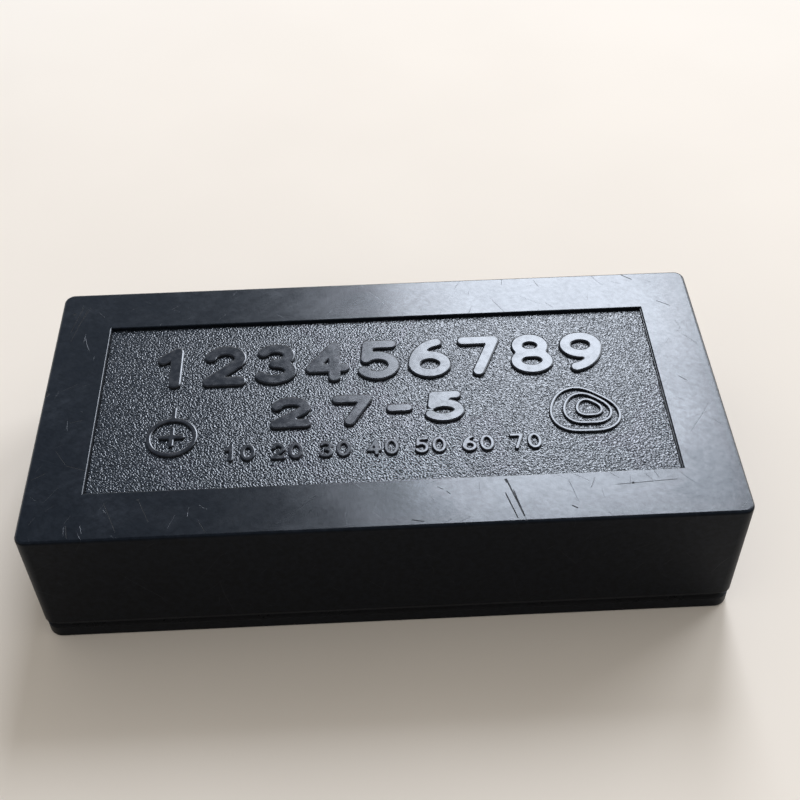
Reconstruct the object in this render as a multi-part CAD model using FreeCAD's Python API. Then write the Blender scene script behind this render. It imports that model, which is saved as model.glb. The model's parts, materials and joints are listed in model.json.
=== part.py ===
import FreeCAD, Part
import math
import os
from FreeCAD import Vector

# Map-measuring wheel in its moulded storage case.
# Millimetres. The origin is the middle of the case's underside, +X runs along the case toward the
# handle of the instrument, +Y toward the back and +Z up. The instrument lies flat, with its dials
# level and its wheel toward -X. Each instrument piece is made about the middle of the dials and is
# then set down in the case.

# Case, outside. Its height is the sum of what it holds and its walls, and comes to 24.6.
CASE_LENGTH = 110.0
CASE_WIDTH = 55.0
CASE_EDGE = 0.5

# Lid
LID_CORNER = 1.8
LID_CORNER_INSIDE = 1.0
LID_WALL = 1.8
LID_ROOF = 1.8
LID_RIM_EDGE = 0.25
RECESS_BORDER = 9.35
RECESS_DEPTH = 0.65
RECESS_FLARE = 0.15
RECESS_EDGE = 0.25

# Base
BASE_FLOOR = 2.0
BASE_CORNER = 2.4
BASE_FLANGE = 2.4
BASE_EDGE = 0.4
GROOVE_HEIGHT = 1.4
GROOVE_INSET = 0.8
SPIGOT_WALL = 1.6
SPIGOT_RISE = 8.6
SPIGOT_CORNER_INSIDE = 0.6
SPIGOT_LEAD = 0.4
LID_FIT = 0.2

# Nest, saddles and ribs that hold the instrument
SIDE_GAP = 3.9
END_GAP = 3.1
LEDGE_HEIGHT = 3.4
LEDGE_WIDTH = 2.6
SEAT_GAP = 0.1
NEST_GAP = 0.4
NEST_WALL = 1.4
NEST_RISE = 8.5
NEST_ARC_DEGREES = 34.0
NEST_EDGE = 0.35
SADDLE_THICKNESS = 1.8
SADDLE_WIDTH = 14.0
SADDLE_GAP = 0.3
SADDLE_SHARES = (0.16, 0.9)
HEAD_ROOM = 3.85
HOLD_GAP = 0.3
HOLD_WALL = 1.6
HOLD_RIB_WIDTH = 8.0
HOLD_RIB_SHARE = 0.55
ROOT = 0.2

# Drum
RING_WALL = 2.3
RING_STEP = 1.0
RING_BELT = 7.2
INNER_LEDGE = 1.6
PLATE_SPACE = 5.2
PLATE_THICKNESS = 0.8
PLATE_GAP = 0.1
DIAL_THICKNESS = 0.4
DIAL_HOLE_GAP = 0.6
POINTER_ROOM = 0.7
CRYSTAL_EDGE = 0.9
CRYSTAL_DOME = 0.7
CRYSTAL_GAP = 0.2
BEZEL_LIP = 1.0
BEZEL_SIGHT = 3.0
BEZEL_ROUND = 0.7
PRESS_GAP = 0.01
RUN_GAP = 0.04

# Nose with the tracing wheel
WHEEL_TURN = 25.0
WHEEL_THICKNESS = 1.6
WHEEL_TEETH = 48
WHEEL_TOOTH = 0.32
NOSE_REACH = 4.5
SLOT_WIDTH = 14.0
TONGUE_WIDTH = 13.2
TONGUE_TIP = 2.2
SHROUD_WIDTH = 16.6
SHROUD_TIP = 2.9
SHROUD_WALL = 0.85
SHROUD_GAP = 0.05
SHROUD_EDGE = 0.4
FORK_DEPTH = 6.0

# Gear train: 40 turns of the tracing wheel are one turn of the pointers
LEAVES = 8
FIRST_TEETH = 40
CENTRE_TEETH = 64
FIRST_MODULE = 0.3
ADDENDUM_SHARE = 0.8
DEDENDUM_SHARE = 1.15
TOOTH_ROOT_SHARE = 0.48
TOOTH_TIP_SHARE = 0.2
GEAR_THICKNESS = 0.8
GEAR_LEVEL = 1.5
PINION_START = 0.95
ARBOR_RADIUS = 0.5
PIVOT_RADIUS = 0.3
CENTRE_RADIUS = 1.0
POINTER_RADIUS = 0.6
ARBOR_SHAKE = 0.15
HUB_WALL = 0.9
HUB_LENGTH = 1.4
RIM_WALL = 1.1
SPOKE_WIDTH = 1.0
SPOKES = 4

# Pointers
POINTER_THICKNESS = 0.25
POINTER_LIFT = 0.4
POINTER_HUB_WALL = 0.65
POINTER_HUB_LIFT = 0.25
POINTER_HUB_LENGTH = 0.8
POINTER_ROOT = 0.9
POINTER_POINT = 0.12
POINTER_REACH_SHARE = 0.85
POINTER_TAIL_SHARE = 0.27
ARBOR_END = 0.25

# Screws
SCREW_RADIUS = 0.4
SCREW_GAP = 0.02
PLATE_SCREW_HEAD = 0.75
PLATE_SCREW_LENGTH = 2.0
PLATE_SCREW_DEGREES = (30.0, 150.0, 270.0)
DIAL_SCREW_HEAD = 0.7
DIAL_SCREW_PLACE_SHARE = 0.4
SHROUD_SCREW_HEAD = 0.8
SHROUD_SCREW_SPREAD = 2.4
SHROUD_SCREW_BACK = 2.6
HEAD_HEIGHT = 0.3
DRIVER_SLOT = 0.22

# Handle
STUD_THREAD = 1.25
STUD_INSIDE = 2.7
STUD_COLLAR = 2.6
STUD_COLLAR_LENGTH = 1.4
STUD_SEAT_GAP = 0.05
STUD_TANG = 1.6
STUD_TANG_LENGTH = 12.0
FERRULE_RADIUS = 3.4
FERRULE_LENGTH = 4.0
FERRULE_BEAD = 0.35
GRIP_RADIUS = 5.0
GRIP_NECK_SHARE = 0.64
GRIP_WAIST_SHARE = 0.56
GRIP_MIDDLE_SHARE = 0.8
GRIP_END_SHARE = 0.82
GRIP_WAIST_PLACE_SHARE = 0.16
GRIP_MIDDLE_PLACE_SHARE = 0.4
GRIP_BELLY_PLACE_SHARE = 0.72
CAP_LENGTH = 1.8
CAP_EDGE = 0.8
CAP_PIN = 1.0
CAP_PIN_LENGTH = 4.0

# Cuts run past the faces that they open. Faces and edges closer than TINY are the same.
OVERRUN = 1.0
TINY = 1e-6

# Case plan, worked out inward from the outside
LID_INNER_LENGTH = CASE_LENGTH - 2 * LID_WALL
LID_INNER_WIDTH = CASE_WIDTH - 2 * LID_WALL
SPIGOT_LENGTH = LID_INNER_LENGTH - 2 * LID_FIT
SPIGOT_WIDTH = LID_INNER_WIDTH - 2 * LID_FIT
SPIGOT_CORNER = LID_CORNER_INSIDE - LID_FIT
CAVITY_LENGTH = SPIGOT_LENGTH - 2 * SPIGOT_WALL
CAVITY_WIDTH = SPIGOT_WIDTH - 2 * SPIGOT_WALL
RIM_HEIGHT = BASE_FLANGE + GROOVE_HEIGHT
SPIGOT_TOP = RIM_HEIGHT + SPIGOT_RISE

# Drum, worked out from the room that the case leaves
BODY_RADIUS = CAVITY_WIDTH / 2 - SIDE_GAP
RING_STEP_RADIUS = BODY_RADIUS - RING_STEP
RING_BORE = BODY_RADIUS - RING_WALL
LEDGE_BORE = RING_BORE - INNER_LEDGE
PLATE_RADIUS = RING_BORE - PLATE_GAP
PLATE_TOP = PLATE_SPACE / 2 + PLATE_THICKNESS
DIAL_TOP = PLATE_TOP + DIAL_THICKNESS
RING_TOP = DIAL_TOP + POINTER_ROOM
CRYSTAL_TOP = RING_TOP + CRYSTAL_EDGE
HALF_THICKNESS = CRYSTAL_TOP + BEZEL_LIP
SIGHT_RADIUS = BODY_RADIUS - BEZEL_SIGHT
CRYSTAL_RADIUS = RING_STEP_RADIUS - CRYSTAL_GAP

# Gear places, along -X from the dials' middle
WHEEL_RADIUS = WHEEL_TURN / (2 * math.pi)
WHEEL_PLACE = BODY_RADIUS + NOSE_REACH
FIRST_DISTANCE = FIRST_MODULE * (LEAVES + FIRST_TEETH) / 2
INTERMEDIATE_PLACE = WHEEL_PLACE - FIRST_DISTANCE
SECOND_MODULE = 2 * INTERMEDIATE_PLACE / (LEAVES + CENTRE_TEETH)
PLATE_SCREW_PLACE = (LEDGE_BORE + RING_BORE) / 2
DIAL_SCREW_PLACE = DIAL_SCREW_PLACE_SHARE * PLATE_RADIUS
SHROUD_SCREW_PLACE = WHEEL_PLACE - SHROUD_SCREW_BACK
SHROUD_INSIDE = PLATE_TOP + SHROUD_GAP
SHROUD_OUTSIDE = SHROUD_INSIDE + SHROUD_WALL
FORK_ROOT = WHEEL_PLACE + TONGUE_TIP - FORK_DEPTH

# Where the instrument lies in the case
DIAL_X = WHEEL_PLACE + WHEEL_RADIUS + END_GAP - CAVITY_LENGTH / 2
DIAL_Z = BASE_FLOOR + LEDGE_HEIGHT + SEAT_GAP + HALF_THICKNESS
CEILING = DIAL_Z + HALF_THICKNESS + HEAD_ROOM
CASE_HEIGHT = CEILING + LID_ROOF + RECESS_DEPTH

# Handle, along +X from the dials' middle, as long as the case allows
COLLAR_START = BODY_RADIUS + STUD_SEAT_GAP
FERRULE_START = COLLAR_START + STUD_COLLAR_LENGTH
GRIP_START = FERRULE_START + FERRULE_LENGTH
HANDLE_END = CAVITY_LENGTH / 2 - END_GAP - DIAL_X
GRIP_END = HANDLE_END - CAP_LENGTH
GRIP_LENGTH = GRIP_END - GRIP_START

UP = Vector(0, 0, 1)
ALONG = Vector(1, 0, 0)
ACROSS = Vector(0, 1, 0)


def disc(radius, low, high, x=0, y=0):
    return Part.makeCylinder(radius, high - low, Vector(x, y, low))


def ring(outer, inner, low, high):
    return disc(outer, low, high).cut(disc(inner, low - OVERRUN, high + OVERRUN))


def block(length, width, low, high, x=0, y=0):
    return Part.makeBox(length, width, high - low, Vector(x - length / 2, y - width / 2, low))


def rod(radius, start, end):
    return Part.makeCylinder(radius, end - start, Vector(start, 0, 0), ALONG)


def upright_edges(shape):
    return [edge for edge in shape.Edges if abs(edge.tangentAt(edge.FirstParameter).z) > 1 - TINY]


def rounded_block(length, width, low, high, corner):
    shape = block(length, width, low, high)
    return shape.makeFillet(corner, upright_edges(shape))


def flared_block(length, width, low, high, flare):
    """A block whose top is larger than its foot by the flare, all round."""
    wires = []
    for height, grown in ((low, 0), (high, flare)):
        x = length / 2 + grown
        y = width / 2 + grown
        points = [Vector(-x, -y, height), Vector(x, -y, height), Vector(x, y, height), Vector(-x, y, height)]
        wires.append(Part.makePolygon(points + points[:1]))
    return Part.makeLoft(wires, True, True)


def edges_at(shape, height):
    level = [edge for edge in shape.Edges if abs(edge.BoundBox.ZMin - height) < TINY]
    return [edge for edge in level if abs(edge.BoundBox.ZMax - height) < TINY]


def sector(outer, inner, low, high, middle_degrees, arc_degrees):
    pie = Part.makeCylinder(outer, high - low, Vector(0, 0, low), UP, arc_degrees)
    pie.rotate(Vector(0, 0, 0), UP, middle_degrees - arc_degrees / 2)
    return pie.cut(disc(inner, low - OVERRUN, high + OVERRUN))


def revolved(edges, axis):
    return Part.Face(Part.Wire(Part.__sortEdges__(edges))).revolve(Vector(0, 0, 0), axis, 360)


def line(start, end):
    return Part.LineSegment(start, end).toShape()


def arc(start, middle, end):
    return Part.Arc(start, middle, end).toShape()


def flipped(shape):
    """The same piece on the rear side of the drum."""
    return shape.mirror(Vector(0, 0, 0), UP)


def together(shapes):
    return Part.makeCompound(shapes)


def fused(shapes):
    return shapes[0].multiFuse(shapes[1:]).removeSplitter()


# Case

def over_quadrants(outer, inner, low, high):
    """Four arcs on the diagonals of the dial, clear of the wheel, the handle and the finger room."""
    arcs = [sector(outer, inner, low, high, middle, NEST_ARC_DEGREES) for middle in (45, 135, 225, 315)]
    for piece in arcs:
        piece.translate(Vector(DIAL_X, 0, 0))
    return arcs


def grip_place(share):
    return DIAL_X + GRIP_START + share * GRIP_LENGTH


def grip_room():
    room = grip_outline(SADDLE_GAP)
    room.translate(Vector(DIAL_X, 0, DIAL_Z))
    return room


def case_base():
    flange = rounded_block(CASE_LENGTH, CASE_WIDTH, 0, BASE_FLANGE, BASE_CORNER)
    flange = flange.makeFillet(BASE_EDGE, edges_at(flange, 0))
    groove_length = CASE_LENGTH - 2 * GROOVE_INSET
    groove_width = CASE_WIDTH - 2 * GROOVE_INSET
    groove_corner = BASE_CORNER - GROOVE_INSET
    shoulder = rounded_block(groove_length, groove_width, BASE_FLANGE, RIM_HEIGHT, groove_corner)
    spigot = rounded_block(SPIGOT_LENGTH, SPIGOT_WIDTH, RIM_HEIGHT, SPIGOT_TOP, SPIGOT_CORNER)
    spigot = spigot.makeFillet(SPIGOT_LEAD, edges_at(spigot, SPIGOT_TOP))
    cavity_top = SPIGOT_TOP + OVERRUN
    cavity = rounded_block(CAVITY_LENGTH, CAVITY_WIDTH, BASE_FLOOR, cavity_top, SPIGOT_CORNER_INSIDE)
    shell = fused([flange, shoulder, spigot]).cut(cavity)
    nest_bore = BODY_RADIUS + NEST_GAP
    foot = BASE_FLOOR - ROOT
    nest_top = BASE_FLOOR + NEST_RISE
    nest = over_quadrants(nest_bore + NEST_WALL, nest_bore, foot, nest_top)
    nest = [piece.makeFillet(NEST_EDGE, edges_at(piece, nest_top)) for piece in nest]
    ledge = over_quadrants(nest_bore + NEST_WALL, BODY_RADIUS - LEDGE_WIDTH, foot, BASE_FLOOR + LEDGE_HEIGHT)
    saddles = []
    for share in SADDLE_SHARES:
        saddle = block(SADDLE_THICKNESS, SADDLE_WIDTH, foot, DIAL_Z, grip_place(share))
        saddles.append(saddle.cut(grip_room()))
    return fused([shell] + nest + ledge + saddles)


def round_mouth(length, width):
    """What rounding the upper edges of the recess takes away."""
    low = CASE_HEIGHT - RECESS_EDGE
    mouth = block(length + 2 * RECESS_EDGE, width + 2 * RECESS_EDGE, low, CASE_HEIGHT)
    x = length / 2 + RECESS_EDGE
    y = width / 2 + RECESS_EDGE
    for side in (-1, 1):
        lengthwise = Part.makeCylinder(RECESS_EDGE, 2 * x, Vector(-x, side * y, low), ALONG)
        crosswise = Part.makeCylinder(RECESS_EDGE, 2 * y, Vector(side * x, -y, low), ACROSS)
        mouth = mouth.cut(lengthwise).cut(crosswise)
    return mouth


def case_lid():
    outside = rounded_block(CASE_LENGTH, CASE_WIDTH, RIM_HEIGHT, CASE_HEIGHT, LID_CORNER)
    outside = outside.makeFillet(CASE_EDGE, edges_at(outside, CASE_HEIGHT))
    outside = outside.makeFillet(LID_RIM_EDGE, edges_at(outside, RIM_HEIGHT))
    mouth = RIM_HEIGHT - OVERRUN
    inside = rounded_block(LID_INNER_LENGTH, LID_INNER_WIDTH, mouth, CEILING, LID_CORNER_INSIDE)
    recess_length = CASE_LENGTH - 2 * RECESS_BORDER
    recess_width = CASE_WIDTH - 2 * RECESS_BORDER
    recess_floor = CASE_HEIGHT - RECESS_DEPTH
    recess = flared_block(recess_length, recess_width, recess_floor, CASE_HEIGHT, RECESS_FLARE)
    shell = outside.cut(inside).cut(recess)
    shell = shell.cut(round_mouth(recess_length + 2 * RECESS_FLARE, recess_width + 2 * RECESS_FLARE))
    hold_low = DIAL_Z + HALF_THICKNESS + HOLD_GAP
    hold_outer = (BODY_RADIUS + SIGHT_RADIUS + HOLD_WALL) / 2
    pads = over_quadrants(hold_outer, hold_outer - HOLD_WALL, hold_low, CEILING + ROOT)
    rib_low = DIAL_Z + GRIP_RADIUS / 2
    rib = block(HOLD_WALL, HOLD_RIB_WIDTH, rib_low, CEILING + ROOT, grip_place(HOLD_RIB_SHARE))
    return fused([shell] + pads + [rib.cut(grip_room())])


# Drum

def screw_places():
    """The places of the plates' screws, in the ledge of the ring."""
    turns = [math.radians(angle) for angle in PLATE_SCREW_DEGREES]
    return [(PLATE_SCREW_PLACE * math.cos(turn), PLATE_SCREW_PLACE * math.sin(turn)) for turn in turns]


def case_ring():
    belt = disc(BODY_RADIUS, -RING_BELT / 2, RING_BELT / 2)
    ends = disc(RING_STEP_RADIUS, -RING_TOP, RING_TOP)
    wall = belt.fuse(ends).cut(disc(RING_BORE, -RING_TOP - OVERRUN, RING_TOP + OVERRUN))
    ledge = ring(RING_BORE + ROOT, LEDGE_BORE, -PLATE_SPACE / 2, PLATE_SPACE / 2)
    slot_length = BODY_RADIUS + OVERRUN
    slot = block(slot_length, SLOT_WIDTH, -RING_TOP - OVERRUN, RING_TOP + OVERRUN, -slot_length / 2)
    thread = rod(STUD_THREAD + SCREW_GAP, LEDGE_BORE - OVERRUN, BODY_RADIUS + OVERRUN)
    shape = wall.fuse(ledge).removeSplitter().cut(slot).cut(thread)
    depth = PLATE_TOP - HEAD_HEIGHT - PLATE_SCREW_LENGTH - RUN_GAP
    for x, y in screw_places():
        hole = disc(SCREW_RADIUS + SCREW_GAP, depth, RING_TOP, x, y)
        shape = shape.cut(hole).cut(flipped(hole))
    return shape


def front_bezel():
    body = disc(BODY_RADIUS, RING_BELT / 2 + PRESS_GAP, HALF_THICKNESS)
    body = body.makeFillet(BEZEL_ROUND, edges_at(body, HALF_THICKNESS))
    seat = disc(RING_STEP_RADIUS + PRESS_GAP, 0, CRYSTAL_TOP + PRESS_GAP)
    sight = disc(SIGHT_RADIUS, 0, HALF_THICKNESS + OVERRUN)
    return body.cut(seat).cut(sight)


def domed(foot, radius, rise):
    """A shallow round cap that stands on the foot's level."""
    ball = (radius ** 2 + rise ** 2) / (2 * rise)
    cap = Part.makeSphere(ball, Vector(0, 0, foot + rise - ball))
    return cap.common(disc(radius, foot, foot + rise + OVERRUN))


def front_crystal():
    """A domed disc whose flat edge is held between the ring and the bezel's lip."""
    dome = SIGHT_RADIUS - CRYSTAL_GAP
    rim = disc(CRYSTAL_RADIUS, RING_TOP, CRYSTAL_TOP)
    crown = rim.fuse(domed(CRYSTAL_TOP, dome, CRYSTAL_DOME))
    return crown.cut(domed(RING_TOP, dome - CRYSTAL_GAP, CRYSTAL_DOME)).removeSplitter()


def front_dial():
    face = disc(PLATE_RADIUS, PLATE_TOP, DIAL_TOP)
    face = face.cut(disc(POINTER_RADIUS + DIAL_HOLE_GAP, 0, DIAL_TOP + OVERRUN))
    for side in (-1, 1):
        face = face.cut(disc(SCREW_RADIUS + SCREW_GAP, 0, DIAL_TOP + OVERRUN, 0, side * DIAL_SCREW_PLACE))
    return face


def nose_outline(root, root_half_width, tip_radius):
    """A plan that narrows from a wide root to a round tip about the tracing wheel's axis."""
    back = WHEEL_PLACE - root
    reach = math.hypot(back, root_half_width)
    turn = math.atan2(root_half_width, back) + math.asin(tip_radius / reach) - math.pi / 2
    touch_x = -WHEEL_PLACE + tip_radius * math.sin(turn)
    touch_y = tip_radius * math.cos(turn)
    corners = [Vector(-root, -root_half_width, 0), Vector(touch_x, -touch_y, 0),
               Vector(touch_x, touch_y, 0), Vector(-root, root_half_width, 0)]
    tip = arc(corners[1], Vector(-WHEEL_PLACE - tip_radius, 0, 0), corners[2])
    edges = [line(corners[0], corners[1]), tip, line(corners[2], corners[3]), line(corners[3], corners[0])]
    return Part.Face(Part.Wire(edges))


def nose_prism(root, root_half_width, tip_radius, low, high):
    face = nose_outline(root, root_half_width, tip_radius)
    face.translate(Vector(0, 0, low))
    return face.extrude(Vector(0, 0, high - low))


def front_plate():
    low = PLATE_SPACE / 2
    tongue = nose_prism(LEDGE_BORE, TONGUE_WIDTH / 2, TONGUE_TIP, low, PLATE_TOP)
    shape = disc(PLATE_RADIUS, low, PLATE_TOP).fuse(tongue).removeSplitter()
    shape = shape.cut(disc(POINTER_RADIUS + RUN_GAP, 0, RING_TOP))
    for place in (INTERMEDIATE_PLACE, WHEEL_PLACE):
        shape = shape.cut(disc(PIVOT_RADIUS + RUN_GAP, 0, RING_TOP, -place))
    for x, y in screw_places():
        shape = shape.cut(disc(SCREW_RADIUS + SCREW_GAP, 0, RING_TOP, x, y))
        head_room = disc(PLATE_SCREW_HEAD + SCREW_GAP, PLATE_TOP - HEAD_HEIGHT, RING_TOP, x, y)
        shape = shape.cut(head_room)
    for side in (-1, 1):
        shape = shape.cut(disc(SCREW_RADIUS + SCREW_GAP, 0, RING_TOP, 0, side * DIAL_SCREW_PLACE))
        place = side * SHROUD_SCREW_SPREAD
        shape = shape.cut(disc(SCREW_RADIUS + SCREW_GAP, 0, RING_TOP, -SHROUD_SCREW_PLACE, place))
    return shape


def screw(head_radius, seat, end, x, y):
    """A slotted cheese head above the seat and a shank down to the end."""
    head = disc(head_radius, seat, seat + HEAD_HEIGHT, x, y)
    slot = block(2 * head_radius + OVERRUN, DRIVER_SLOT, seat + HEAD_HEIGHT / 2, seat + OVERRUN, x, y)
    return head.cut(slot).fuse(disc(SCREW_RADIUS, end, seat, x, y)).removeSplitter()


def both_sides(screws):
    return together(screws + [flipped(piece) for piece in screws])


def plate_screws():
    seat = PLATE_TOP - HEAD_HEIGHT
    end = seat - PLATE_SCREW_LENGTH
    return both_sides([screw(PLATE_SCREW_HEAD, seat, end, x, y) for x, y in screw_places()])


def dial_screws():
    places = [side * DIAL_SCREW_PLACE for side in (-1, 1)]
    return both_sides([screw(DIAL_SCREW_HEAD, DIAL_TOP, PLATE_SPACE / 2, 0, y) for y in places])


# Nose

def nose_shroud():
    """A hollow cover over both tongues, open between its two fork ends."""
    root = RING_BORE
    cover = nose_prism(root, SHROUD_WIDTH / 2, SHROUD_TIP, -SHROUD_OUTSIDE, SHROUD_OUTSIDE)
    cover = cover.makeFillet(SHROUD_EDGE, edges_at(cover, SHROUD_OUTSIDE) + edges_at(cover, -SHROUD_OUTSIDE))
    room = SHROUD_WIDTH / 2 - SHROUD_WALL
    inside = nose_prism(root - OVERRUN, room, SHROUD_TIP, -SHROUD_INSIDE, SHROUD_INSIDE)
    fork_length = FORK_DEPTH + OVERRUN
    fork_width = SHROUD_WIDTH + OVERRUN
    fork = block(fork_length, fork_width, -SHROUD_INSIDE, SHROUD_INSIDE, -FORK_ROOT - fork_length / 2)
    drum = disc(BODY_RADIUS + SHROUD_GAP, -SHROUD_OUTSIDE - OVERRUN, SHROUD_OUTSIDE + OVERRUN)
    shape = cover.cut(inside).cut(fork).cut(drum)
    for side in (-1, 1):
        place = side * SHROUD_SCREW_SPREAD
        low = -SHROUD_OUTSIDE - OVERRUN
        high = SHROUD_OUTSIDE + OVERRUN
        shape = shape.cut(disc(SCREW_RADIUS + SCREW_GAP, low, high, -SHROUD_SCREW_PLACE, place))
    return shape


def shroud_screws():
    x = -SHROUD_SCREW_PLACE
    end = PLATE_SPACE / 2
    places = [side * SHROUD_SCREW_SPREAD for side in (-1, 1)]
    return both_sides([screw(SHROUD_SCREW_HEAD, SHROUD_OUTSIDE, end, x, y) for y in places])


def tracing_wheel():
    points = []
    for step in range(2 * WHEEL_TEETH):
        turn = math.pi * step / WHEEL_TEETH
        radius = WHEEL_RADIUS - WHEEL_TOOTH * (step % 2)
        points.append(Vector(radius * math.cos(turn), radius * math.sin(turn), -WHEEL_THICKNESS / 2))
    toothed = Part.Face(Part.makePolygon(points + points[:1])).extrude(Vector(0, 0, WHEEL_THICKNESS))
    shape = toothed.cut(disc(ARBOR_RADIUS + PRESS_GAP, -OVERRUN, OVERRUN))
    shape.translate(Vector(-WHEEL_PLACE, 0, 0))
    return shape


# Gear train

def gear(teeth, module, low, high, first_tooth_share):
    """Straight-flanked teeth with backlash. The first tooth stands a share of one pitch past +X."""
    pitch = 2 * math.pi / teeth
    root = module * (teeth / 2 - DEDENDUM_SHARE)
    tip = module * (teeth / 2 + ADDENDUM_SHARE)
    corners = ((root, -TOOTH_ROOT_SHARE), (tip, -TOOTH_TIP_SHARE),
               (tip, TOOTH_TIP_SHARE), (root, TOOTH_ROOT_SHARE))
    points = []
    for tooth in range(teeth):
        middle = pitch * (tooth + first_tooth_share)
        for radius, share in corners:
            turn = middle + share * pitch / 2
            points.append(Vector(radius * math.cos(turn), radius * math.sin(turn), low))
    return Part.Face(Part.makePolygon(points + points[:1])).extrude(Vector(0, 0, high - low))


def crossed_out(shape, hub, rim, low, high):
    """Windows between the hub and the rim leave straight spokes."""
    windows = disc(rim, low - OVERRUN, high + OVERRUN).cut(disc(hub, low - OVERRUN, high + OVERRUN))
    for spoke in range(SPOKES // 2):
        bar = block(2 * rim + OVERRUN, SPOKE_WIDTH, low - OVERRUN, high + OVERRUN)
        bar.rotate(Vector(0, 0, 0), UP, 180 / SPOKES * (2 * spoke + 1))
        windows = windows.cut(bar)
    return shape.cut(windows)


def wheel(teeth, module, bore, level, hub_low):
    low = level - GEAR_THICKNESS / 2
    high = level + GEAR_THICKNESS / 2
    hub = bore + HUB_WALL
    rim = module * (teeth / 2 - DEDENDUM_SHARE) - RIM_WALL
    shape = crossed_out(gear(teeth, module, low, high, 1 / 2), hub, rim, low, high)
    shape = shape.fuse(disc(hub, hub_low, hub_low + HUB_LENGTH)).removeSplitter()
    return shape.cut(disc(bore + PRESS_GAP, -PLATE_SPACE, PLATE_SPACE))


def pinion(module, low, high):
    bore = disc(ARBOR_RADIUS + PRESS_GAP, low - OVERRUN, high + OVERRUN)
    return gear(LEAVES, module, low, high, 0).cut(bore)


def at_place(shape, place):
    shape.translate(Vector(-place, 0, 0))
    return shape


def pivoted_arbor():
    shoulder = PLATE_SPACE / 2 - ARBOR_SHAKE
    pivots = disc(PIVOT_RADIUS, -PLATE_TOP, PLATE_TOP)
    return disc(ARBOR_RADIUS, -shoulder, shoulder).fuse(pivots).removeSplitter()


def pinion_end():
    return PLATE_SPACE / 2 - 2 * ARBOR_SHAKE


def roller_pinion():
    return at_place(pinion(FIRST_MODULE, PINION_START, pinion_end()), WHEEL_PLACE)


def intermediate_wheel():
    level = GEAR_LEVEL
    hub_low = level + GEAR_THICKNESS / 2 - HUB_LENGTH
    return at_place(wheel(FIRST_TEETH, FIRST_MODULE, ARBOR_RADIUS, level, hub_low), INTERMEDIATE_PLACE)


def intermediate_pinion():
    return at_place(pinion(SECOND_MODULE, -pinion_end(), -PINION_START), INTERMEDIATE_PLACE)


def centre_wheel():
    hub_low = -GEAR_LEVEL - GEAR_THICKNESS / 2
    return wheel(CENTRE_TEETH, SECOND_MODULE, CENTRE_RADIUS, -GEAR_LEVEL, hub_low)


def centre_arbor():
    shoulder = PLATE_SPACE / 2 - ARBOR_SHAKE
    end = RING_TOP + CRYSTAL_DOME - ARBOR_END
    return disc(CENTRE_RADIUS, -shoulder, shoulder).fuse(disc(POINTER_RADIUS, -end, end)).removeSplitter()


def front_pointer():
    """A thin blade on a hub, pointing away from the handle."""
    low = DIAL_TOP + POINTER_LIFT
    hub_low = DIAL_TOP + POINTER_HUB_LIFT
    reach = POINTER_REACH_SHARE * SIGHT_RADIUS
    tail = POINTER_TAIL_SHARE * SIGHT_RADIUS
    points = [Vector(-reach, -POINTER_POINT, low), Vector(-reach, POINTER_POINT, low),
              Vector(tail, POINTER_ROOT, low), Vector(tail, -POINTER_ROOT, low)]
    blade = Part.Face(Part.makePolygon(points + points[:1])).extrude(Vector(0, 0, POINTER_THICKNESS))
    hub_high = hub_low + POINTER_HUB_LENGTH
    shape = blade.fuse(disc(POINTER_RADIUS + POINTER_HUB_WALL, hub_low, hub_high)).removeSplitter()
    return shape.cut(disc(POINTER_RADIUS + PRESS_GAP, 0, hub_high + OVERRUN))


# Handle

def neck_stud():
    thread = rod(STUD_THREAD, BODY_RADIUS - STUD_INSIDE, COLLAR_START)
    collar = rod(STUD_COLLAR, COLLAR_START, FERRULE_START)
    tang = rod(STUD_TANG, FERRULE_START, FERRULE_START + STUD_TANG_LENGTH)
    return fused([thread, collar, tang])


def ferrule():
    bead = FERRULE_LENGTH / 4
    sleeve = rod(FERRULE_RADIUS - FERRULE_BEAD, FERRULE_START, GRIP_START)
    near_bead = rod(FERRULE_RADIUS, FERRULE_START, FERRULE_START + bead)
    far_bead = rod(FERRULE_RADIUS, GRIP_START - bead, GRIP_START)
    bore = rod(STUD_TANG + PRESS_GAP, FERRULE_START - OVERRUN, GRIP_START + OVERRUN)
    return fused([sleeve, near_bead, far_bead]).cut(bore)


def grip_outline(extra):
    """The turned grip, with its radius grown by extra all along."""
    shares = ((0, GRIP_NECK_SHARE), (GRIP_WAIST_PLACE_SHARE, GRIP_WAIST_SHARE),
              (GRIP_MIDDLE_PLACE_SHARE, GRIP_MIDDLE_SHARE), (GRIP_BELLY_PLACE_SHARE, 1), (1, GRIP_END_SHARE))
    points = []
    for along, radius in shares:
        points.append(Vector(GRIP_START + along * GRIP_LENGTH, 0, radius * GRIP_RADIUS + extra))
    start = Vector(GRIP_START, 0, 0)
    end = Vector(GRIP_END, 0, 0)
    sides = [line(start, points[0]), line(points[4], end), line(end, start)]
    return revolved(sides + [arc(*points[:3]), arc(*points[2:])], ALONG)


def handle_grip():
    tang_end = FERRULE_START + STUD_TANG_LENGTH + SEAT_GAP
    pin_end = GRIP_END - CAP_PIN_LENGTH - SEAT_GAP
    tang_room = rod(STUD_TANG + PRESS_GAP, GRIP_START - OVERRUN, tang_end)
    pin_room = rod(CAP_PIN + PRESS_GAP, pin_end, GRIP_END + OVERRUN)
    return grip_outline(0).cut(tang_room).cut(pin_room)


def handle_cap():
    radius = GRIP_END_SHARE * GRIP_RADIUS
    button = rod(radius, GRIP_END, HANDLE_END)
    outer_edges = [edge for edge in button.Edges if abs(edge.BoundBox.XMin - HANDLE_END) < TINY]
    button = button.makeFillet(CAP_EDGE, outer_edges)
    return fused([button, rod(CAP_PIN, GRIP_END - CAP_PIN_LENGTH, GRIP_END)])


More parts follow.
